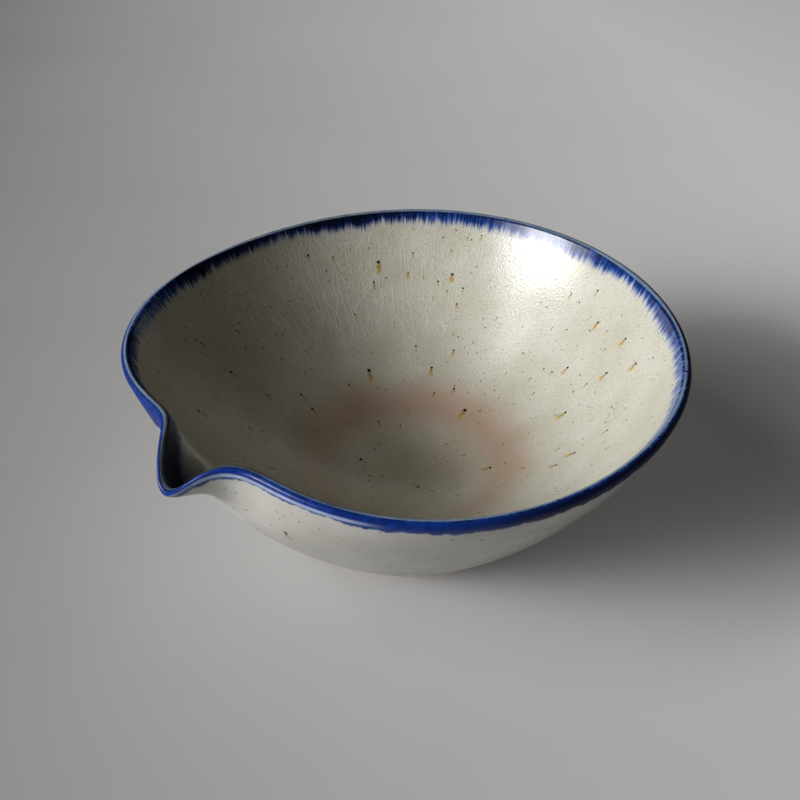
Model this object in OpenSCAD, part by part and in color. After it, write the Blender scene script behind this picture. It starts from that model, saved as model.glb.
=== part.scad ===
// Katakuchi: a wheel-thrown stoneware pourer with one lip pulled from its own rim.
// Millimetres, +Z up, the spout points along +X.
// The origin is the centre of the foot, on the surface that the pourer stands on.

/* [Bowl] */
// Rim diameter, from crest to crest of the lip
rim_d = 140; // [110:5:190]
// Height from the table to the crest of the lip
height = 58; // [50:1:80]
// Thickness of the rounded lip, glaze included
lip_t = 2.6; // [2:0.1:4]
// Clay left under the middle of the floor
floor_t = 3.7; // [2.5:0.1:8]
// Diameter of the turned underside, where the outer wall starts
base_d = 63; // [54:1:80]

/* [Wall curves] */
// Slope of the outer wall where it leaves the base, in degrees from level
base_slope = 26; // [15:1:45]
// How far the outer wall holds that slope
base_run = 7; // [3:0.5:12]
// Slope of the outer wall under the lip, in degrees from level
outer_slope = 73; // [62:1:82]
// How far the outer wall holds that slope
outer_run = 22; // [12:1:28]
// Slope of the inner wall under the lip, in degrees from level
inner_slope = 66; // [58:1:76]
// How far the inner wall holds that slope
inner_run = 24.5; // [14:0.5:28]
// How far the floor runs level from its middle
floor_run = 29; // [18:1:36]

/* [Spout] */
// How far the tip is pulled out of the pinched rim
spout_reach = 11; // [6:0.5:18]
// Half width of the pulled tip, in degrees round the rim
spout_half = 7.6; // [5:0.1:12]
// How far the tip is pressed down to pour
spout_drop = 7.7; // [4:0.1:12]
// Half width of the pressed channel, in degrees round the rim
channel_half = 5; // [3.5:0.1:8]
// Depth below the rim at which the pulled tip has faded into the wall
spout_fade = 8; // [6:0.5:14]

/* [Pinch] */
// How far two fingers push the rim in beside the tip
pinch_in = 6.3; // [2:0.1:8]
// How far the pinched rim rises
pinch_lift = 2.5; // [1:0.1:5]
// Half width of the pinch, in degrees round the rim
pinch_half = 28; // [20:1:40]
// Angle by which the pinch sits off the tip
pinch_shift = -1.2; // [-6:0.1:6]
// Depth below the rim at which the pinch has faded into the wall
pinch_fade = 12; // [8:0.5:18]
// How far the rim swells outside the pinch
shoulder_out = 1.8; // [0:0.1:3]
// Angle of those swellings from the tip
shoulder_at = 58; // [50:1:70]
// Half width of those swellings, in degrees round the rim
shoulder_half = 28; // [20:1:34]

/* [Hand of the wheel] */
// Out-of-round of the rim, as a lengthwise oval
oval_out = 0.95; // [0:0.05:2]
// Out-of-round of the rim, as three slight corners
corner_out = 0.75; // [0:0.05:1.5]

/* [Foot] */
// Height of the foot ring
foot_h = 4; // [2.5:0.5:8]
// How far the foot ring stands inside the turned underside
foot_inset = 2.5; // [1:0.5:6]
// Width of the foot ring where it joins the underside
foot_w = 6; // [4:0.5:10]
// Taper of the foot ring towards its resting face, on each side
foot_taper = 0.8; // [0.2:0.1:1.4]
// Bevel along both edges of the resting face
foot_bevel = 0.5; // [0.2:0.1:0.8]

/* [Glaze] */
// Thickness of the fired glaze
glaze_t = 0.5; // [0.3:0.05:0.8]
// Bare clay between the base and the lower edge of the outer glaze
bare_strip = 2; // [1:0.5:4]
// Height of the cobalt band outside, below the lip's roll
band_out = 2.6; // [1.5:0.1:6]
// Height of the cobalt band inside, below the lip's roll
band_in = 4; // [1.5:0.1:7]

/* [Smoothness] */
// Columns of faces round the pourer
columns = 72; // [60:4:88]
// How far the columns crowd towards the spout
crowding = 0.75; // [0.5:0.05:0.85]

/* [Hidden] */

$fn = 96;

rim_r = rim_d / 2;
base_r = base_d / 2;
floor_z = foot_h + floor_t;
foot_r = base_r - foot_inset;

// Faces up the wall, over the lip and down the inside
outer_rows = 9;
lip_rows = 5;
inner_rows = 11;
// The rows crowd towards the rim, where the spout bends the wall
row_power = 1.35;
// Share of the inner curve at the last row before the middle of the floor
last_row = 0.93;

// Roll of the lip in clay, under the glaze
lip_mid = [rim_r, height - lip_t / 2];
lip_r = lip_t / 2 - glaze_t;

function along(slope) = [cos(slope), sin(slope)];

// The outer wall and the inner wall are one cubic curve each
outer_top = lip_mid + lip_r * along(outer_slope - 90);
outer_curve = [
    [base_r, foot_h],
    [base_r, foot_h] + base_run * along(base_slope),
    outer_top - outer_run * along(outer_slope),
    outer_top
];
inner_top = lip_mid + lip_r * along(inner_slope + 90);
inner_curve = [
    inner_top,
    inner_top - inner_run * along(inner_slope),
    [floor_run, floor_z],
    [0, floor_z]
];

function curve_point(c, t) =
    pow(1 - t, 3) * c[0] + 3 * t * pow(1 - t, 2) * c[1] + 3 * t * t * (1 - t) * c[2] + pow(t, 3) * c[3];
function curve_heading(c, t) =
    pow(1 - t, 2) * (c[1] - c[0]) + 2 * t * (1 - t) * (c[2] - c[1]) + t * t * (c[3] - c[2]);

// A row is a point of the clay's section and the way that its surface faces
function facing(heading) = [heading[1], -heading[0]] / norm(heading);
function curve_row(c, t) = [curve_point(c, t), facing(curve_heading(c, t))];
function lip_row(turn) = [lip_mid + lip_r * along(turn), along(turn)];

// Where the glaze and the cobalt start and stop along the curves
glaze_from = bare_strip / (3 * base_run);
band_from = 1 - band_out / (3 * outer_run);
band_to = band_in / (3 * inner_run);

section = concat(
    [curve_row(outer_curve, 0)],
    [for (i = [0 : outer_rows])
        curve_row(outer_curve, glaze_from + (band_from - glaze_from) * (1 - pow(1 - i / outer_rows, row_power)))],
    [for (i = [0 : lip_rows])
        lip_row(outer_slope - 90 + (inner_slope - outer_slope + 180) * i / lip_rows)],
    [for (i = [0 : inner_rows])
        curve_row(inner_curve, band_to + (last_row - band_to) * pow(i / inner_rows, row_power))]
);
glaze_row = 1;
band_row = glaze_row + outer_rows;
band_end_row = band_row + 1 + lip_rows + 1;
floor_row = len(section) - 1;

// Columns stand close together at the spout and wider apart behind
function column_angle(i) =
    let (even = 360 * i / columns - 180)
    even - crowding * sin(even) * 180 / PI;

function bump(angle, half) = exp(-pow(angle / half, 2));
function fade(z, depth) = exp(-pow((height - z) / depth, 2));
function swell(angle) =
    shoulder_out * (bump(angle - shoulder_at, shoulder_half) + bump(angle + shoulder_at, shoulder_half));
function out_of_round(angle) = oval_out * cos(2 * angle) - corner_out * sin(3 * angle);

// A point of the round section, moved to where the hand has pushed and pulled it
function placed(p, angle) =
    let (
        pulled = fade(p[1], spout_fade),
        pinched = fade(p[1], pinch_fade),
        pinch = bump(angle - pinch_shift, pinch_half),
        thrown_r = p[0] * (1 + out_of_round(angle) / rim_r * p[1] / height),
        r = thrown_r + pulled * spout_reach * bump(angle, spout_half)
            + pinched * (swell(angle) - pinch_in * pinch),
        z = p[1] - pulled * spout_drop * bump(angle, channel_half) + pinched * pinch_lift * pinch
    )
    [r * cos(angle), r * sin(angle), z];

// Points of the rows from first to last, lifted off the clay along its facing
function sheet(first, last, lift) =
    [for (j = [first : last]) for (i = [0 : columns - 1])
        placed(section[j][0] + lift * section[j][1], column_angle(i))];

// Triangles of a sheet whose points start at a given index, seen from its outer side
function sheet_faces(start, rows) =
    [for (j = [0 : rows - 2]) for (i = [0 : columns - 1])
        let (
            n = (i + 1) % columns,
            a = start + j * columns + i,
            b = start + j * columns + n,
            c = a + columns,
            d = b + columns
        )
        each [[a, c, d], [a, d, b]]];
function strip_faces(low, high) =
    [for (i = [0 : columns - 1])
        let (n = (i + 1) % columns)
        each [[low + i, high + i, high + n], [low + i, high + n, low + n]]];
function fan_faces(start, middle) =
    [for (i = [0 : columns - 1]) [start + i, middle, start + (i + 1) % columns]];
function turned(faces) = [for (f = faces) [f[2], f[1], f[0]]];

// A coat of glaze from one row to another, open at both ends
module coat(first, last) {
    rows = last - first + 1;
    back = rows * columns;
    polyhedron(
        concat(sheet(first, last, glaze_t), sheet(first, last, 0)),
        concat(
            sheet_faces(0, rows),
            turned(sheet_faces(back, rows)),
            strip_faces(back, 0),
            turned(strip_faces(back + (rows - 1) * columns, (rows - 1) * columns))
        )
    );
}

// A coat of glaze from one row down to the middle of the floor
module floor_coat(first) {
    rows = floor_row - first + 1;
    back = rows * columns;
    top_mid = 2 * back;
    polyhedron(
        concat(sheet(first, floor_row, glaze_t), sheet(first, floor_row, 0),
            [[0, 0, floor_z + glaze_t], [0, 0, floor_z]]),
        concat(
            sheet_faces(0, rows),
            fan_faces(back - columns, top_mid),
            turned(sheet_faces(back, rows)),
            turned(fan_faces(top_mid - columns, top_mid + 1)),
            strip_faces(back, 0)
        )
    );
}

// Fired clay: floor, wall, lip and the spout that is pulled from them
module clay_body() {
    rows = len(section);
    under_mid = rows * columns;
    color("tan")
        polyhedron(
            concat(sheet(0, floor_row, 0), [[0, 0, foot_h], [0, 0, floor_z]]),
            concat(
                sheet_faces(0, rows),
                turned(fan_faces(0, under_mid)),
                fan_faces(under_mid - columns, under_mid + 1)
            )
        );
}

// Unglazed ring of the same clay that the pourer stands on
module foot_ring() {
    color("peru")
        rotate_extrude()
            polygon([
                [foot_r - foot_w, foot_h],
                [foot_r - foot_w + foot_taper, foot_bevel],
                [foot_r - foot_w + foot_taper + foot_bevel, 0],
                [foot_r - foot_taper - foot_bevel, 0],
                [foot_r - foot_taper, foot_bevel],
                [foot_r, foot_h]
            ]);
}

// Pale glaze poured round the inside
module inner_glaze() {
    color("gainsboro") floor_coat(band_end_row);
}

// Pale glaze on the outside, wiped off above the base
module outer_glaze() {
    color("whitesmoke") coat(glaze_row, band_row);
}

// Glaze stained by the cobalt that was brushed round the lip
module cobalt_rim() {
    color("mediumblue") coat(band_row, band_end_row);
}

clay_body();
foot_ring();
inner_glaze();
outer_glaze();
cobalt_rim();
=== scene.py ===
import math
import random

import bpy
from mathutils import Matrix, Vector
from mathutils.kdtree import KDTree


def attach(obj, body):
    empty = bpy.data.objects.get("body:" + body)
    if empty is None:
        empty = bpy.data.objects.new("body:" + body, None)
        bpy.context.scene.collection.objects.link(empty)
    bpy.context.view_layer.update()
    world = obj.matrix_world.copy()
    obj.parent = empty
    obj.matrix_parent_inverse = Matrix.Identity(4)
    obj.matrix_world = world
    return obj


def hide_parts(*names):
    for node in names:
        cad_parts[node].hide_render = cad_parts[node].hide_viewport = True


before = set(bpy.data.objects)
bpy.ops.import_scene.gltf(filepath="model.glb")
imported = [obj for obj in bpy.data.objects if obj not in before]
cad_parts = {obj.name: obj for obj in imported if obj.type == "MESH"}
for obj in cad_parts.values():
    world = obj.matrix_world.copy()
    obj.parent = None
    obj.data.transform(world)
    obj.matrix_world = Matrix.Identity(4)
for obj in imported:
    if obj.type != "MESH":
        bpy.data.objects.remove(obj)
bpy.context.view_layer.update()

# Clay body
# Grey-buff stoneware, thrown on a wheel in one go and its base turned flat when leather hard. The
# spout is pulled out of the soft lip with one finger, which draws the lip in on both sides of it.
rim_radius = 0.070
crest_height = 0.058
lip_thickness = 0.0026
base_radius = 0.0315
foot_height = 0.004
floor_height = 0.0077
floor_reach = 0.029
glaze_thickness = 0.0005
outer_slope = 73
inner_slope = 66
base_slope = 26
outer_reach = 0.022
inner_reach = 0.0245
base_reach = 0.007


def heading(degrees):
    """A direction in the wall's section, as how far out and how far up."""
    return Vector((math.cos(math.radians(degrees)), math.sin(math.radians(degrees))))


def on_curve(corners, t):
    """The point at t on a cubic curve of four corners, and which way the wall faces there."""
    a, b, c, d = corners
    s = 1 - t
    point = s**3 * a + 3 * s * s * t * b + 3 * s * t * t * c + t**3 * d
    way = s * s * (b - a) + 2 * s * t * (c - b) + t * t * (d - c)
    return point, Vector((way.y, -way.x)).normalized()


lip_middle = Vector((rim_radius, crest_height - lip_thickness / 2))
lip_radius = lip_thickness / 2 - glaze_thickness
base_corner = Vector((base_radius, foot_height))
outer_top = lip_middle + lip_radius * heading(outer_slope - 90)
outer_curve = [
    base_corner,
    base_corner + base_reach * heading(base_slope),
    outer_top - outer_reach * heading(outer_slope),
    outer_top,
]
inner_top = lip_middle + lip_radius * heading(inner_slope + 90)
inner_curve = [
    inner_top,
    inner_top - inner_reach * heading(inner_slope),
    Vector((floor_reach, floor_height)),
    Vector((0, floor_height)),
]


def lip_rows(count):
    """Rows round the lip, from the outer wall over the crest to the inner wall."""
    rows = []
    for step in range(count + 1):
        facing = heading(outer_slope - 90 + (inner_slope + 180 - outer_slope) * step / count)
        rows.append((lip_middle + lip_radius * facing, facing))
    return rows


def curve_rows(corners, start, end, count):
    """Rows along one of the wall's two curves."""
    return [on_curve(corners, start + (end - start) * step / count) for step in range(count + 1)]


columns = 384
crowding = 0.5


def throw(name, outline):
    """Draws an outline as a chain of extruded points and spins it round the wheel's axis."""
    bpy.ops.object.select_all(action="DESELECT")
    bpy.ops.mesh.primitive_plane_add(size=0.01)
    piece = bpy.context.object
    piece.name = name
    piece.data.name = name
    bpy.ops.object.mode_set(mode="EDIT")
    bpy.ops.mesh.merge(type="CENTER")
    bpy.ops.transform.translate(value=(outline[0].x, 0, outline[0].y))
    for before, after in zip(outline, outline[1:]):
        move = (after.x - before.x, 0, after.y - before.y)
        bpy.ops.mesh.extrude_region_move(TRANSFORM_OT_translate={"value": move})
    bpy.ops.mesh.select_all(action="SELECT")
    bpy.ops.mesh.spin(steps=columns, angle=math.tau, center=(0, 0, 0), axis=(0, 0, 1))
    bpy.ops.mesh.select_all(action="SELECT")
    bpy.ops.mesh.remove_doubles(threshold=0.000005)
    bpy.ops.mesh.normals_make_consistent(inside=False)
    bpy.ops.object.mode_set(mode="OBJECT")
    return piece


spout_pull = 0.011
spout_width = 7.6
spout_drop = 0.0077
spout_drop_width = 5
spout_depth = 0.009
pinch_in = 0.0063
pinch_lift = 0.0025
pinch_middle = -1.2
pinch_width = 28
pinch_depth = 0.0145
pinch_lean = 0.0025
pinch_lean_width = 8
shoulder_out = 0.0018
shoulder_angle = 58
oval = 0.00095
three_sided = 0.00075


def swelling(offset, width):
    """A smooth bump, one at its middle."""
    return math.exp(-((offset / width) ** 2))


def by_hand(radius, height, turn):
    """Where a thrown point goes when the spout is pulled and the lip drawn in beside it."""
    angle = math.degrees(turn)
    below = crest_height - height
    pulled = swelling(below, spout_depth)
    pinched = swelling(below, pinch_depth - pinch_lean * math.tanh(angle / pinch_lean_width))
    pinch = swelling(angle - pinch_middle, pinch_width)
    shoulder = swelling(angle - shoulder_angle, pinch_width) + swelling(angle + shoulder_angle, pinch_width)
    out_of_round = oval * math.cos(2 * turn) - three_sided * math.sin(3 * turn)
    radius *= 1 + out_of_round / rim_radius * height / crest_height
    radius += pulled * spout_pull * swelling(angle, spout_width)
    radius += pinched * (shoulder_out * shoulder - pinch_in * pinch)
    height += pinched * pinch_lift * pinch - pulled * spout_drop * swelling(angle, spout_drop_width)
    return Vector((radius * math.cos(turn), radius * math.sin(turn), height))


def turned(spot):
    """Radius, height and angle of a thrown point, with the columns drawn together at the spout."""
    even = math.atan2(spot.y, spot.x)
    return math.hypot(spot.x, spot.y), spot.z, even - crowding * math.sin(even)


def smooth(piece, degrees):
    """Shades a piece smooth, apart from edges sharper than an angle."""
    bpy.ops.object.select_all(action="DESELECT")
    piece.select_set(True)
    bpy.context.view_layer.objects.active = piece
    bpy.ops.object.shade_smooth_by_angle(angle=math.radians(degrees))


def add_node(tree, kind, inputs=None, **settings):
    """Adds a node with its settings, and gives inputs a value or a link."""
    node = tree.nodes.new(kind)
    for key, value in settings.items():
        setattr(node, key, value)
    for key, value in (inputs or {}).items():
        if isinstance(value, bpy.types.NodeSocket):
            tree.links.new(value, node.inputs[key])
        else:
            node.inputs[key].default_value = value
    return node


def object_place(tree):
    """Where a point lies on the finished piece."""
    return add_node(tree, "ShaderNodeTexCoord").outputs["Object"]


def rise(tree, value, low, high):
    """Goes smoothly from nought at low to one at high."""
    inputs = {"Value": value, "From Min": low, "From Max": high}
    node = add_node(tree, "ShaderNodeMapRange", inputs, interpolation_type="SMOOTHSTEP")
    return node.outputs["Result"]


def tint(tree, amount, first, second):
    """Goes from the first colour to the second as amount goes from nought to one."""
    inputs = {0: amount, 6: first, 7: second}
    return add_node(tree, "ShaderNodeMix", inputs, data_type="RGBA").outputs[2]


def grain(tree, where, scale, detail=2.0):
    """Soft random grain, about a half on average."""
    inputs = {"Vector": where, "Scale": scale, "Detail": detail}
    return add_node(tree, "ShaderNodeTexNoise", inputs).outputs["Fac"]


def bare_clay(name):
    """Unglazed stoneware: buff grey and gritty, with dark iron grains."""
    finish = bpy.data.materials.new(name)
    finish.use_nodes = True
    tree = finish.node_tree
    shader = tree.nodes["Principled BSDF"]
    place = object_place(tree)
    cloud = grain(tree, place, 120, 4)
    grit = grain(tree, place, 2600, 3)
    colour = tint(tree, rise(tree, cloud, 0.35, 0.65), (0.36, 0.29, 0.21, 1), (0.47, 0.4, 0.3, 1))
    colour = tint(tree, rise(tree, grit, 0.58, 0.7), colour, (0.2, 0.15, 0.1, 1))
    iron = add_node(tree, "ShaderNodeTexVoronoi", {"Vector": place, "Scale": 380})
    dark = rise(tree, iron.outputs["Distance"], 0.2, 0.12)
    colour = tint(tree, dark, colour, (0.06, 0.045, 0.035, 1))
    tree.links.new(colour, shader.inputs["Base Color"])
    tree.links.new(rise(tree, grit, 0.0, 1.1), shader.inputs["Roughness"])
    bump = {"Strength": 0.5, "Distance": 0.0002, "Height": grit}
    tree.links.new(add_node(tree, "ShaderNodeBump", bump).outputs[0], shader.inputs["Normal"])
    return finish


tool_step = 0.0015
tool_mark = 0.00015
tool_turns = 15
clay_edge = 35
underside = [Vector((tool_step * step, foot_height + tool_mark * (step % 2))) for step in range(tool_turns)]
clay_rows = curve_rows(outer_curve, 0, 1, 26) + lip_rows(8)[1:] + curve_rows(inner_curve, 0, 1, 30)[1:]
clay = throw("clay_body", underside + [point for point, facing in clay_rows])
for vertex in clay.data.vertices:
    vertex.co = by_hand(*turned(vertex.co))
clay.data.update()
smooth(clay, clay_edge)
clay.data.materials.append(bare_clay("bare stoneware"))
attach(clay, "root")
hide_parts("clay_body")

# Foot ring
# A low ring of the same clay, trimmed out of the base when leather hard and set in under the wall.
# It stays unglazed, since it stands on the kiln shelf, and its edges are softened with a sponge.
foot_inner = 0.0230
foot_outer = 0.0290
foot_taper = 0.0008
foot_round = 0.0005
foot_outline = [
    Vector((foot_inner, foot_height)),
    Vector((foot_inner + foot_taper, 0.0)),
    Vector((foot_outer - foot_taper, 0.0)),
    Vector((foot_outer, foot_height)),
    Vector((foot_inner, foot_height)),
]
foot = throw("foot_ring", foot_outline)
bpy.ops.object.mode_set(mode="EDIT")
bpy.ops.mesh.select_mode(type="EDGE")
bpy.ops.mesh.select_all(action="DESELECT")
bpy.ops.mesh.edges_select_sharp(sharpness=math.radians(40))
bpy.ops.mesh.bevel(offset=foot_round, segments=4, affect="EDGES")
bpy.ops.mesh.select_mode(type="VERT")
bpy.ops.object.mode_set(mode="OBJECT")
smooth(foot, clay_edge)
foot.data.materials.append(bare_clay("bare stoneware foot"))
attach(foot, "root")
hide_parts("foot_ring")

# Inner glaze
# Half a millimetre of warm grey-white satin glaze, poured in and out of the raw bowl. It crazes as
# it cools, blushes pink where it lies thin round the floor, and iron grains bleed amber down it.
bare_strip = 0.002
band_outside = 0.0026
band_inside = 0.004
roll_length = 0.0035
band_rows = 7
crest_rows = 14
glaze_start = bare_strip / (3 * base_reach)
roll_end = glaze_start + roll_length / (3 * base_reach)
band_start = 1 - band_outside / (3 * outer_reach)
band_end = band_inside / (3 * inner_reach)
roll_part = curve_rows(outer_curve, glaze_start, roll_end, 8)
outer_part = roll_part + curve_rows(outer_curve, roll_end, band_start, 62)[1:]
rim_part = curve_rows(outer_curve, band_start, 1, band_rows)
rim_part += lip_rows(crest_rows)[1:] + curve_rows(inner_curve, 0, band_end, 10)[1:]
inner_part = curve_rows(inner_curve, band_end, 1, 66)
wall_rows = outer_part + rim_part[1:] + inner_part[1:]
skin = [point + glaze_thickness * facing for point, facing in wall_rows]
rim_first = len(outer_part) - 1
rim_last = rim_first + len(rim_part) - 1
crest = rim_first + band_rows + crest_rows // 2

finger_ridge = 0.00006
finger_step = 0.0034
finger_middle = 0.024
finger_spread = 0.02
edge_roll = 0.00025
edge_roll_middle = 0.0012
edge_roll_spread = 0.0008
for row, (point, facing) in enumerate(outer_part):
    travel = (skin[row] - skin[0]).length
    fade = swelling(travel - finger_middle, finger_spread)
    skin[row] += finger_ridge * fade * math.sin(math.tau * travel / finger_step) * facing
    skin[row] += edge_roll * swelling(travel - edge_roll_middle, edge_roll_spread) * facing
runs = [0.0] * len(skin)
for row in range(crest + 1, len(skin)):
    runs[row] = runs[row - 1] + (skin[row] - skin[row - 1]).length
for row in range(crest - 1, -1, -1):
    runs[row] = runs[row + 1] - (skin[row + 1] - skin[row]).length
skin_finder = KDTree(len(skin))
for row, point in enumerate(skin):
    skin_finder.insert((point.x, point.y, 0), row)
skin_finder.balance()


def spot_on_skin(degrees, distance):
    """The place on the finished bowl at an angle from the spout and so many millimetres below the
    crest, counted down the inside, or down the outside if less than nought."""
    row = min(range(len(runs)), key=lambda index: abs(runs[index] - distance / 1000))
    return by_hand(skin[row].x, skin[row].y, math.radians(degrees))


def scatter(spots, count, nearest, farthest, sizes, seed):
    """Adds iron spots at random to a list of them, at least four millimetres from one another."""
    chance = random.Random(seed)
    spots = list(spots)
    places = [spot_on_skin(degrees, distance) for degrees, distance, size, stain in spots]
    while len(spots) < count:
        degrees = chance.uniform(-180, 180)
        distance = chance.uniform(nearest, farthest)
        size = sizes[0] + (sizes[1] - sizes[0]) * chance.random() ** 2
        stain = chance.choice((0.2, 0.5, 0.8, 1.0))
        place = spot_on_skin(degrees, distance)
        crowded = chance.random() > place.xy.length / rim_radius
        if not crowded and all((place - other).length > 0.004 for other in places):
            spots.append((degrees, distance, size, stain))
            places.append(place)
    return spots


def slope_at(row):
    """Which way the skin runs at a row, towards the inside."""
    return skin[min(row + 1, len(skin) - 1)] - skin[max(row - 1, 0)]


def turn_outwards(piece):
    """Makes the faces of a coat point away from the clay, judged by the one in the middle."""
    middle = piece.data.polygons[len(piece.data.polygons) // 2]
    spot = middle.center
    slope = slope_at(skin_finder.find((math.hypot(spot.x, spot.y), spot.z, 0))[1])
    angle = math.atan2(spot.y, spot.x)
    facing = Vector((slope.y * math.cos(angle), slope.y * math.sin(angle), -slope.x))
    inside_out = middle.normal.dot(facing) < 0
    bpy.ops.object.mode_set(mode="EDIT")
    bpy.ops.mesh.select_all(action="SELECT")
    if inside_out:
        bpy.ops.mesh.flip_normals()
    bpy.ops.object.mode_set(mode="OBJECT")


def glaze_coat(name, first, last, spots):
    """One coat of glaze between two rows of the skin. Its points keep how far down the wall they
    are and which way is up the wall, and its faces which iron spot is the nearest."""
    piece = throw(name, skin[first : last + 1])
    mesh = piece.data
    kept = {"run": [], "turn": [], "uphill": []}
    iron = {"iron": [], "iron_size": [], "iron_stain": []}
    spot_finder = KDTree(len(spots))
    for index, (degrees, distance, size, stain) in enumerate(spots):
        spot_finder.insert(spot_on_skin(degrees, distance), index)
    spot_finder.balance()
    for vertex in mesh.vertices:
        radius, height, angle = turned(vertex.co)
        row = skin_finder.find((radius, height, 0))[1]
        vertex.co = by_hand(radius, height, angle)
        slope = slope_at(row).normalized() * (-1 if row > crest else 1)
        out = Vector((math.cos(angle), math.sin(angle), 0))
        kept["run"].append(runs[row])
        kept["turn"].extend(rim_radius * out + Vector((0, 0, runs[row])))
        kept["uphill"].extend(slope.x * out + Vector((0, 0, slope.y)))
    for face in mesh.polygons:
        centre, index, gap = spot_finder.find(face.center)
        iron["iron"].extend(centre)
        iron["iron_size"].append(spots[index][2])
        iron["iron_stain"].append(spots[index][3])
    groups = (("POINT", len(mesh.vertices), kept), ("FACE", len(mesh.polygons), iron))
    for domain, count, group in groups:
        for key, values in group.items():
            single = len(values) == count
            attribute = mesh.attributes.new(key, "FLOAT" if single else "FLOAT_VECTOR", domain)
            attribute.data.foreach_set("value" if single else "vector", values)
    mesh.update()
    turn_outwards(piece)
    coat = piece.modifiers.new("coat", "SOLIDIFY")
    coat.thickness = 0.9 * glaze_thickness
    coat.offset = -1
    bpy.ops.object.modifier_apply(modifier=coat.name)
    smooth(piece, 40)
    return piece


def maths(tree, operation, first, second=0.0):
    """The result of one sum on two values."""
    return add_node(tree, "ShaderNodeMath", {0: first, 1: second}, operation=operation).outputs[0]


def vectors(tree, operation, first, second=(0, 0, 0)):
    """The result of one sum on two vectors, a vector or a length."""
    node = add_node(tree, "ShaderNodeVectorMath", {0: first, 1: second}, operation=operation)
    return node.outputs["Value" if operation in ("DOT_PRODUCT", "LENGTH") else "Vector"]


def mixed(tree, amount, first, second):
    """Goes from the first value to the second as amount goes from nought to one."""
    return add_node(tree, "ShaderNodeMix", {0: amount, 2: first, 3: second}).outputs[0]


def sum_of(tree, *terms):
    """The sum of several values, each times its own share."""
    total = None
    for value, share in terms:
        term = maths(tree, "MULTIPLY", value, share)
        total = term if total is None else maths(tree, "ADD", total, term)
    return total


def product_of(tree, first, *others):
    """The product of several values."""
    for other in others:
        first = maths(tree, "MULTIPLY", first, other)
    return first


def kept_value(tree, name):
    """A number that a coat's points or faces keep."""
    return add_node(tree, "ShaderNodeAttribute", attribute_name=name).outputs["Fac"]


def kept_vector(tree, name):
    """A vector that a coat's points or faces keep."""
    return add_node(tree, "ShaderNodeAttribute", attribute_name=name).outputs["Vector"]


def inside_lip(tree):
    """One inside the crest of the lip and nought outside it."""
    return rise(tree, kept_value(tree, "run"), -0.0002, 0.0002)


def flat_radius(tree):
    """How far a point is from the wheel's axis."""
    return vectors(tree, "LENGTH", vectors(tree, "MULTIPLY", object_place(tree), (1, 1, 0)))


# Stretches of the wall where the glaze came out unlike the rest, or where shade or a highlight is
# painted on: the middle as an angle from the spout, and how far to each side it fades out and is
# still full, all in degrees.
stretches = {
    "blush": (190, 130, 60),
    "crazed": (-118, 46, 22),
    "broad streaks": (150, 60, 30),
    "spout": (3, 15, 4),
    "thin left": (-58, 14, 5),
    "thin right": (112, 30, 10),
    "shaded left": (-96, 50, 28),
    "near": (43, 80, 35),
    "back": (-150, 80, 45),
    "drip": (-32, 34, 16),
    "wiped": (20, 16, 8),
    "shaded outside": (112, 70, 35),
    "painted_highlight": (18, 23, 12),
}


def along_wall(tree, stretch):
    """One on a stretch of the wall, fading to nought on both sides of it."""
    middle, wide, narrow = stretches[stretch]
    way = heading(middle)
    toward = (way.x / rim_radius, way.y / rim_radius, 0)
    along = vectors(tree, "DOT_PRODUCT", kept_vector(tree, "turn"), toward)
    return rise(tree, along, math.cos(math.radians(wide)), math.cos(math.radians(narrow)))


def pale_colour(tree, cloud, peel):
    """Warm grey-white, browner where it pools on the floor, clouded, darker in the hollows of its orange
    peel as painted shade, and blushing pink.
    """
    inside = inside_lip(tree)
    radius = flat_radius(tree)
    colour = tint(tree, inside, (0.5, 0.482, 0.435, 1), (0.56, 0.541, 0.436, 1))
    puddle = product_of(tree, rise(tree, radius, 0.036, 0.018), inside, 0.7)
    colour = tint(tree, puddle, colour, (0.55, 0.475, 0.35, 1))
    cloudy = tint(tree, 0.16, colour, (1, 1, 1, 1))
    colour = tint(tree, rise(tree, cloud, 0.3, 0.7), colour, cloudy)
    # Painted shade: darker in the hollows of the orange peel.
    painted_peel_shade = product_of(tree, rise(tree, peel, 0.6, 0.2), sum_of(tree, (inside, 0.14), (1, 0.05)))
    colour = tint(tree, painted_peel_shade, colour, (0, 0, 0, 1))
    radius = sum_of(tree, (radius, 1), (grain(tree, object_place(tree), 70, 3), 0.006))
    blush = product_of(tree, rise(tree, radius, 0.020, 0.030), rise(tree, radius, 0.042, 0.031), inside)
    blush = product_of(tree, blush, sum_of(tree, (along_wall(tree, "blush"), 0.32), (1, 0.42)))
    return tint(tree, blush, colour, (0.48, 0.315, 0.225, 1))


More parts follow.
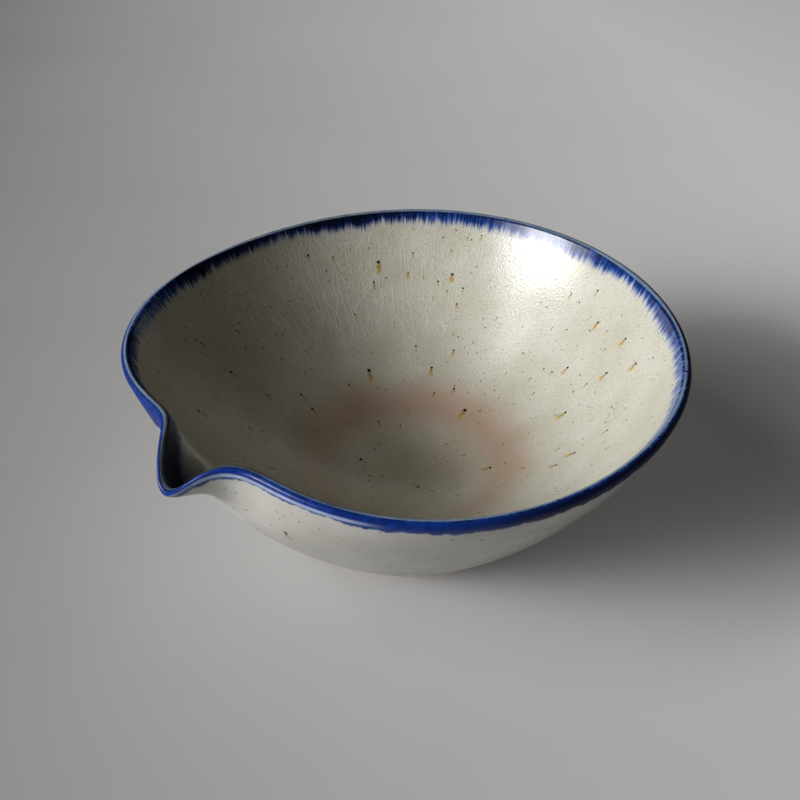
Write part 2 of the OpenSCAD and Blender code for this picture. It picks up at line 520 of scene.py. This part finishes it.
def crazing(tree):
    """Three sets of fine wavering cracks, one down the wall and two that lean, in patches."""
    place = object_place(tree)
    run = kept_value(tree, "run")
    turn = kept_vector(tree, "turn")
    waver = add_node(tree, "ShaderNodeTexNoise", {"Vector": place, "Scale": 130.0}).outputs["Color"]
    waver = vectors(tree, "MULTIPLY", vectors(tree, "SUBTRACT", waver, (0.5, 0.5, 0.5)), (0.0014,) * 3)
    cracks = 0.0
    half_width = 0.0002
    for lean, scale, stretch in ((0.0, 340.0, 0.07), (11.0, 160.0, 0.1), (-13.0, 130.0, 0.12)):
        swing = {"Vector": turn, "Angle": maths(tree, "MULTIPLY", run, lean)}
        swung = add_node(tree, "ShaderNodeVectorRotate", swing, rotation_type="Z_AXIS").outputs[0]
        swung = vectors(tree, "ADD", vectors(tree, "MULTIPLY", swung, (1, 1, stretch)), waver)
        cells = {"Vector": swung, "Scale": scale}
        edges = add_node(tree, "ShaderNodeTexVoronoi", cells, feature="DISTANCE_TO_EDGE")
        crack = rise(tree, edges.outputs["Distance"], half_width * scale, 0.0)
        cracks = maths(tree, "MAXIMUM", cracks, crack)
    upper_wall = rise(tree, flat_radius(tree), 0.038, 0.056)
    patches = rise(tree, grain(tree, place, 45, 2), 0.15, 0.5)
    strength = sum_of(tree, (along_wall(tree, "crazed"), 0.95), (1, 0.05))
    return product_of(tree, cracks, upper_wall, patches, strength)


def fine_specks(tree):
    """Small dark grains of two sizes that lie in the face of the glaze."""
    place = object_place(tree)
    facing = add_node(tree, "ShaderNodeNewGeometry").outputs["Normal"]
    specks = 0.0
    for scale, tolerance, size in ((360.0, 0.00045, 0.00024), (230.0, 0.0008, 0.00034)):
        cells = add_node(tree, "ShaderNodeTexVoronoi", {"Vector": place, "Scale": scale})
        gap = vectors(tree, "SUBTRACT", place, cells.outputs["Position"])
        depth = maths(tree, "ABSOLUTE", vectors(tree, "DOT_PRODUCT", gap, facing))
        spread = maths(tree, "DIVIDE", vectors(tree, "LENGTH", gap), size)
        speck = maths(tree, "SUBTRACT", rise(tree, depth, tolerance, 0.0), spread)
        specks = maths(tree, "MAXIMUM", specks, rise(tree, speck, -0.5, 0.3))
    return specks


def iron_spots(tree, peel):
    """The amber that bleeds down the wall from iron grains, its colour, and the grains' black heads."""
    tail_length = 0.0026
    head_radius = 0.00046
    size = kept_value(tree, "iron_size")
    gap = vectors(tree, "SUBTRACT", object_place(tree), kept_vector(tree, "iron"))
    spread = vectors(tree, "LENGTH", gap)
    climb = vectors(tree, "DOT_PRODUCT", gap, kept_vector(tree, "uphill"))
    side = maths(tree, "SUBTRACT", maths(tree, "POWER", spread, 2.0), maths(tree, "POWER", climb, 2.0))
    side = maths(tree, "SQRT", maths(tree, "MAXIMUM", side, 0.0))
    down = maths(tree, "DIVIDE", maths(tree, "MULTIPLY", climb, -1 / tail_length), size)
    width = product_of(tree, sum_of(tree, (down, 0.0006), (1, 0.0004)), size)
    edge = sum_of(tree, (maths(tree, "DIVIDE", side, width), 1), (peel, 1.6))
    stain = product_of(tree, rise(tree, down, 0.0, 0.35), rise(tree, down, 1.35, 0.8))
    stain = product_of(tree, stain, rise(tree, edge, 1.9, 1.0), kept_value(tree, "iron_stain"))
    amber = tint(tree, rise(tree, down, 0.2, 1.0), (0.36, 0.18, 0.015, 1), (0.52, 0.35, 0.07, 1))
    heads = maths(tree, "DIVIDE", maths(tree, "DIVIDE", spread, head_radius), size)
    heads = rise(tree, sum_of(tree, (heads, 1), (peel, 0.5)), 1.4, 0.95)
    return stain, amber, heads


def cobalt_inside(tree, fine, broad, mottle):
    """How far the cobalt covers the inside, and its blue, which darkens with its depth, and further as
    painted shade on the shaded left and, in part, in the spout's pool.
    """
    run = kept_value(tree, "run")
    pool = along_wall(tree, "spout")
    near = along_wall(tree, "near")
    swing = grain(tree, vectors(tree, "MULTIPLY", kept_vector(tree, "turn"), (1, 1, 0)), 35, 1)
    feather = sum_of(tree, (fine, 0.0045), (broad, 0.003), (swing, 0.004), (1, -0.0055))
    feather = product_of(tree, feather, sum_of(tree, (pool, -0.85), (1, 1)))
    reach = sum_of(tree, (feather, 1), (pool, 0.0026), (1, 0.005))
    thick = maths(tree, "SUBTRACT", reach, run)
    cover = product_of(tree, thick, sum_of(tree, (pool, -0.6), (1, 1)))
    cover = rise(tree, sum_of(tree, (cover, 1), (pool, 0.0012)), -0.0009, 0.0022)
    streaks = product_of(tree, rise(tree, fine, 0.32, 0.68), sum_of(tree, (near, -0.8), (1, 1)))
    # The depth is raised as painted shade on the shaded left of the inside; in the spout it is raised where
    # the cobalt pools, partly as painted shade.
    depth = sum_of(
        tree,
        (streaks, 0.7),
        (mottle, 0.5),
        (pool, 1.3),
        (along_wall(tree, "shaded left"), 1.2),
        (along_wall(tree, "thin left"), -1.4),
        (along_wall(tree, "thin right"), -0.5),
        (near, -0.2),
        (1, 0.5),
    )
    depth = product_of(tree, thick, maths(tree, "MAXIMUM", depth, 0.2))
    ramp = add_node(tree, "ShaderNodeValToRGB", {0: maths(tree, "DIVIDE", depth, 0.01)})
    stops = ramp.color_ramp.elements
    stops[0].color = (0.2, 0.27, 0.48, 1)
    stops[1].color = (0.003, 0.004, 0.014, 1)
    for position, blue in (
        (0.1, (0.05, 0.12, 0.36, 1)),
        (0.22, (0.011, 0.045, 0.22, 1)),
        (0.38, (0.006, 0.021, 0.12, 1)),
        (0.65, (0.004, 0.008, 0.035, 1)),
    ):
        stops.new(position).color = blue
    # Partly painted shade: the spout's pool is tinted near-black, for the pooled cobalt and for the shade
    # in the channel.
    pooled_and_painted_shade = product_of(tree, pool, 0.75)
    return cover, tint(tree, pooled_and_painted_shade, ramp.outputs[0], (0.012, 0.016, 0.045, 1))


def cobalt_outside(tree, fine, broad, mottle):
    """How far the cobalt covers the outside, and its blue, darkened as painted shade on the shaded side of
    the bowl, with a pale stripe beside the spout that is a painted highlight.
    """
    run = kept_value(tree, "run")
    drip = along_wall(tree, "drip")
    wiped = along_wall(tree, "wiped")
    reach = sum_of(tree, (fine, 0.0008), (broad, 0.0032), (drip, 0.006), (wiped, -0.0007), (1, 0.0018))
    thick = maths(tree, "ADD", reach, run)
    blue = tint(tree, rise(tree, thick, 0.0, 0.0016), (0.04, 0.11, 0.36, 1), (0.007, 0.035, 0.24, 1))
    # Painted shade: on the shaded side of the bowl the outer cobalt is darkened to near-black, as well as
    # where it is mottled.
    shade = product_of(tree, along_wall(tree, "shaded outside"), 0.9)
    dark = maths(tree, "MAXIMUM", shade, product_of(tree, mottle, 0.45))
    blue = tint(tree, dark, blue, (0.003, 0.005, 0.035, 1))
    # Painted highlight: a pale stripe on the outer lip beside the spout.
    painted_highlight = product_of(tree, rise(tree, run, -0.0029, -0.0021), rise(tree, run, -0.0012, -0.0018))
    painted_highlight = product_of(tree, painted_highlight, along_wall(tree, "painted_highlight"), sum_of(tree, (broad, 0.9), (1, 0.3)))
    return rise(tree, thick, -0.0002, 0.0006), tint(tree, painted_highlight, blue, (0.44, 0.52, 0.7, 1))


def worn_crest(tree, broad):
    """Where the cobalt is thin on the crest, in a line that lies further in or out round the bowl."""
    run = kept_value(tree, "run")
    pool = along_wall(tree, "spout")
    near = along_wall(tree, "near")
    back = along_wall(tree, "back")
    shade = product_of(tree, along_wall(tree, "shaded outside"), 0.9)
    # On the shaded side the pale line lies further in, so that the painted shade outside it shows wider; it
    # is also weaker under the painted highlight stripe.
    outer_edge = sum_of(tree, (run, 1), (near, -0.0003), (shade, -0.0004))
    inner_edge = sum_of(tree, (run, 1), (near, -0.0009), (shade, -0.0004), (back, -0.0007))
    line = product_of(tree, rise(tree, outer_edge, -0.0002, 0.0001), rise(tree, inner_edge, 0.0007, 0.0003))
    painted_highlight = along_wall(tree, "painted_highlight")
    strength = sum_of(tree, (broad, 0.8), (pool, -0.2), (painted_highlight, -0.35), (back, -0.15), (1, 0.4))
    return product_of(tree, line, strength)


def roughness(tree, cobalt, cloud, craze):
    """Satin on the pale glaze, glassy on the cobalt, dull where the cobalt is thick."""
    inside = inside_lip(tree)
    outside = sum_of(tree, (inside, -1), (1, 1))
    satin = add_node(tree, "ShaderNodeMapRange", {"Value": cloud, "To Min": 0.2, "To Max": 0.28}).outputs[0]
    satin = sum_of(tree, (satin, 1), (craze, 0.13))
    shade = product_of(tree, along_wall(tree, "shaded outside"), 0.9)
    glassy = sum_of(
        tree,
        (product_of(tree, along_wall(tree, "spout"), inside), 0.5),
        (product_of(tree, along_wall(tree, "drip"), outside), 0.3),
        (product_of(tree, shade, outside), 0.45),
        (1, 0.17),
    )
    return mixed(tree, cobalt, satin, glassy)


def melted_glaze(name, shine, crackle, dimples):
    """Pale crazed glaze with iron specks, into which the cobalt of the lip runs in streaks."""
    finish = bpy.data.materials.new(name)
    finish.use_nodes = True
    tree = finish.node_tree
    shader = tree.nodes["Principled BSDF"]
    place = object_place(tree)
    cloud = grain(tree, place, 75, 4)
    peel = grain(tree, place, 1750, 1)
    mottle = rise(tree, grain(tree, place, 700, 2), 0.35, 0.65)
    down_wall = vectors(tree, "MULTIPLY", kept_vector(tree, "turn"), (1, 1, 0.09))
    broad = grain(tree, down_wall, 300, 2)
    coarse = grain(tree, down_wall, 800, 2)
    fine = mixed(tree, along_wall(tree, "broad streaks"), grain(tree, down_wall, 1700, 2), coarse)
    craze = crazing(tree)
    stain, amber, heads = iron_spots(tree, peel)
    cover_in, blue_in = cobalt_inside(tree, fine, broad, mottle)
    cover_out, blue_out = cobalt_outside(tree, fine, broad, mottle)
    cobalt = mixed(tree, inside_lip(tree), cover_out, cover_in)
    blue = tint(tree, inside_lip(tree), blue_out, blue_in)

    colour = pale_colour(tree, cloud, peel)
    colour = tint(tree, product_of(tree, craze, 0.06 * crackle), colour, (0.74, 0.73, 0.66, 1))
    colour = tint(tree, product_of(tree, fine_specks(tree), 0.75), colour, (0.12, 0.13, 0.1, 1))
    colour = tint(tree, stain, colour, amber)
    colour = tint(tree, cobalt, colour, blue)
    colour = tint(tree, worn_crest(tree, broad), colour, (0.26, 0.35, 0.46, 1))
    colour = tint(tree, heads, colour, (0.022, 0.02, 0.018, 1))
    tree.links.new(colour, shader.inputs["Base Color"])

    crackled = product_of(tree, craze, crackle)
    tree.links.new(roughness(tree, cobalt, cloud, crackled), shader.inputs["Roughness"])
    bump = {"Strength": mixed(tree, cobalt, dimples, 0.12), "Distance": 0.00012, "Height": peel}
    dimpled = add_node(tree, "ShaderNodeBump", bump).outputs[0]
    bump = {"Strength": mixed(tree, cobalt, 0.36 * crackle, 0.0), "Distance": 0.0001, "Height": craze}
    cracked = add_node(tree, "ShaderNodeBump", {**bump, "Normal": dimpled}).outputs[0]
    tree.links.new(cracked, shader.inputs["Normal"])
    shader.inputs["Specular IOR Level"].default_value = shine
    return finish


# The iron spots that show most: the angle from the spout, millimetres down from the crest, size and
# how strongly amber bleeds from them. Smaller ones are scattered between them.
inner_spots = [
    (-128, 17, 1.3, 1.0),
    (-126, 23, 0.9, 0.8),
    (-150, 20, 1.1, 0.9),
    (-138, 5, 0.8, 0.6),
    (-138, 14, 0.7, 0.5),
    (-146, 23, 0.7, 0.5),
    (-154, 24, 0.7, 0.6),
    (-153, 29, 0.8, 0.6),
    (-118, 32, 0.7, 0.5),
    (-108, 11, 0.8, 0.4),
    (-176, 10, 0.7, 0.5),
    (173, 15, 0.8, 0.7),
    (166, 11, 0.8, 0.5),
    (160, 18, 0.9, 0.9),
    (148, 15, 0.9, 0.9),
    (138, 16, 1.0, 0.9),
    (144, 25, 1.0, 0.9),
    (158, 33, 0.9, 0.8),
    (-140, 43, 0.7, 0.6),
    (-156, 44, 0.8, 0.8),
    (-148, 50, 0.9, 0.9),
    (-118, 51, 1.3, 0.9),
    (-162, 56, 0.8, 0.7),
    (-174, 61, 1.3, 0.9),
    (142, 41, 1.0, 1.0),
    (118, 39, 1.0, 1.0),
    (115, 45, 0.9, 1.0),
    (130, 66, 1.0, 0.9),
    (80, 86, 1.0, 0.5),
    (-81, 49, 0.9, 0.5),
    (-80, 55, 1.0, 0.6),
    (-70, 75, 1.1, 0.3),
    (-40, 27, 1.1, 0.7),
    (-64, 30, 1.0, 0.5),
]
inner_spots = scatter(inner_spots, 170, 6, 88, (0.3, 0.75), 3)
inner = glaze_coat("inner_glaze", rim_last, len(skin) - 1, inner_spots)
inner.data.materials.append(melted_glaze("pale glaze inside", 0.9, 1.0, 0.55))
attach(inner, "root")
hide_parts("inner_glaze")

# Outer glaze
# The same glaze, put on by dipping the outside up to the lip and wiped back from the base, so that
# it ends in a soft roll just above the foot.
outer_spots = scatter([(19, -16, 1.2, 1.0), (-28, -60, 0.8, 0.6)], 44, -66, -5, (0.3, 0.55), 5)
outer = glaze_coat("outer_glaze", 0, rim_first, outer_spots)
outer.data.materials.append(melted_glaze("pale glaze outside", 0.3, 0.1, 0.2))
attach(outer, "root")
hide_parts("outer_glaze")

# Cobalt rim
# A band of cobalt blue brushed round the lip over the pale glaze. In the fire it thins to grey-blue
# on the crest, runs down the inside in feathered streaks and pools in the spout, where its near-black
# is partly painted shade. Painted shade also darkens it on the shaded left of the inside and on the
# shaded side of the outside, and a pale stripe beside the spout is a painted highlight. It comes out
# glossier on the inner face than on the outer one and in the spout.
spout_root = 0.05
rim_spots = scatter([(-100, 0.3, 0.9, 0.0), (100, 0.3, 0.9, 0.0)], 44, -3, 4, (0.35, 1.0), 8)
rim = glaze_coat("cobalt_rim", rim_first, rim_last, rim_spots)
rim.data.materials.append(melted_glaze("cobalt glaze", 0.15, 0.3, 0.2))
rim.data.materials.append(melted_glaze("glossy cobalt glaze", 0.45, 0.3, 0.2))
for face in rim.data.polygons:
    faces_in = face.normal.xy.dot(face.center.xy) < 0
    face.material_index = int(faces_in and face.center.x < spout_root)
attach(rim, "root")
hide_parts("cobalt_rim")

# Floor, light and camera
# A pale table top, its colour painted with light: dark on the lamps' side and pale on the far side.
# A main lamp and a broad fill stand low on the spout's side, with three small lamps above them. The
# room is nearly dark to the bowl, and pale only to the camera.
table_shaded_colour = (0.17, 0.168, 0.167, 1)
table_lit_colour = (0.94, 0.93, 0.925, 1)
table_lift = 0.055
bpy.ops.object.select_all(action="DESELECT")
bpy.ops.mesh.primitive_plane_add(size=6, location=(0, 0, 0))
table = bpy.context.object
table.name = "table_top"
table_finish = bpy.data.materials.new("pale table")
table_finish.use_nodes = True
table_tree = table_finish.node_tree
table_shader = table_tree.nodes["Principled BSDF"]
table_place = object_place(table_tree)
# Painted light: the table's colour runs from dark on the lamps' side to pale on the far side, in place of
# light that falls off across it.
table_across = vectors(table_tree, "DOT_PRODUCT", table_place, (-0.84, 0.54, 0))
table_across = sum_of(table_tree, (table_across, 1), (grain(table_tree, table_place, 9, 3), 0.04))
table_range = {"Value": table_across, "From Min": -0.18, "From Max": 0.26}
table_painted_light = add_node(table_tree, "ShaderNodeMapRange", table_range).outputs["Result"]
table_colour = tint(table_tree, table_painted_light, table_shaded_colour, table_lit_colour)
table_tree.links.new(table_colour, table_shader.inputs["Base Color"])
table_shader.inputs["Roughness"].default_value = 0.7
table_shader.inputs["Emission Color"].default_value = (1, 0.97, 0.96, 1)
table_seen = add_node(table_tree, "ShaderNodeLightPath").outputs["Is Camera Ray"]
table_glow = maths(table_tree, "MULTIPLY", table_seen, table_lift)
table_tree.links.new(table_glow, table_shader.inputs["Emission Strength"])
table.data.materials.append(table_finish)

lamp_target = Vector((0, 0, 0.03))
for lamp_name, lamp_place, lamp_width, lamp_height, lamp_power in (
    ("main lamp", (2.48, -1.12, 1.27), 1.1, 0.9, 58),
    ("upper lamp near", (2.26, -0.7, 1.85), 0.45, 0.45, 4.2),
    ("upper lamp middle", (1.88, -1.06, 2.08), 0.45, 0.45, 4.2),
    ("upper lamp far", (1.47, -1.25, 2.3), 0.45, 0.45, 4.2),
    ("fill lamp", (2.15, -0.97, 1.06), 2.0, 1.1, 36),
):
    lamp_data = bpy.data.lights.new(lamp_name, "AREA")
    lamp_data.shape = "RECTANGLE"
    lamp_data.size = lamp_width
    lamp_data.size_y = lamp_height
    lamp_data.energy = lamp_power
    lamp = bpy.data.objects.new(lamp_name, lamp_data)
    lamp.location = lamp_place
    lamp.rotation_euler = (lamp_target - lamp.location).to_track_quat("-Z", "Y").to_euler()
    bpy.context.scene.collection.objects.link(lamp)

room_light = 0.012
room_seen = 0.4
world = bpy.data.worlds.new("room")
world.use_nodes = True
world_tree = world.node_tree
world_shader = world_tree.nodes["Background"]
world_shader.inputs["Color"].default_value = (1, 0.95, 0.88, 1)
world_seen = add_node(world_tree, "ShaderNodeLightPath").outputs["Is Camera Ray"]
world_strength = sum_of(world_tree, (world_seen, room_seen), (1, room_light))
world_tree.links.new(world_strength, world_shader.inputs["Strength"])
bpy.context.scene.world = world

camera_side = math.radians(43.13)
camera_away = 0.21665
camera_height = 0.1957
camera_pitch = 36.39
camera_heading = -226.3
camera_data = bpy.data.cameras.new("camera")
camera_data.lens = 45
camera_data.sensor_width = 36
camera_data.clip_start = 0.01
camera = bpy.data.objects.new("camera", camera_data)
camera.location = (camera_away * math.cos(camera_side), camera_away * math.sin(camera_side), camera_height)
camera.rotation_euler = (math.radians(90 - camera_pitch), 0, math.radians(camera_heading))
bpy.context.scene.collection.objects.link(camera)
bpy.context.scene.camera = camera
bpy.context.scene.view_settings.view_transform = "Standard"
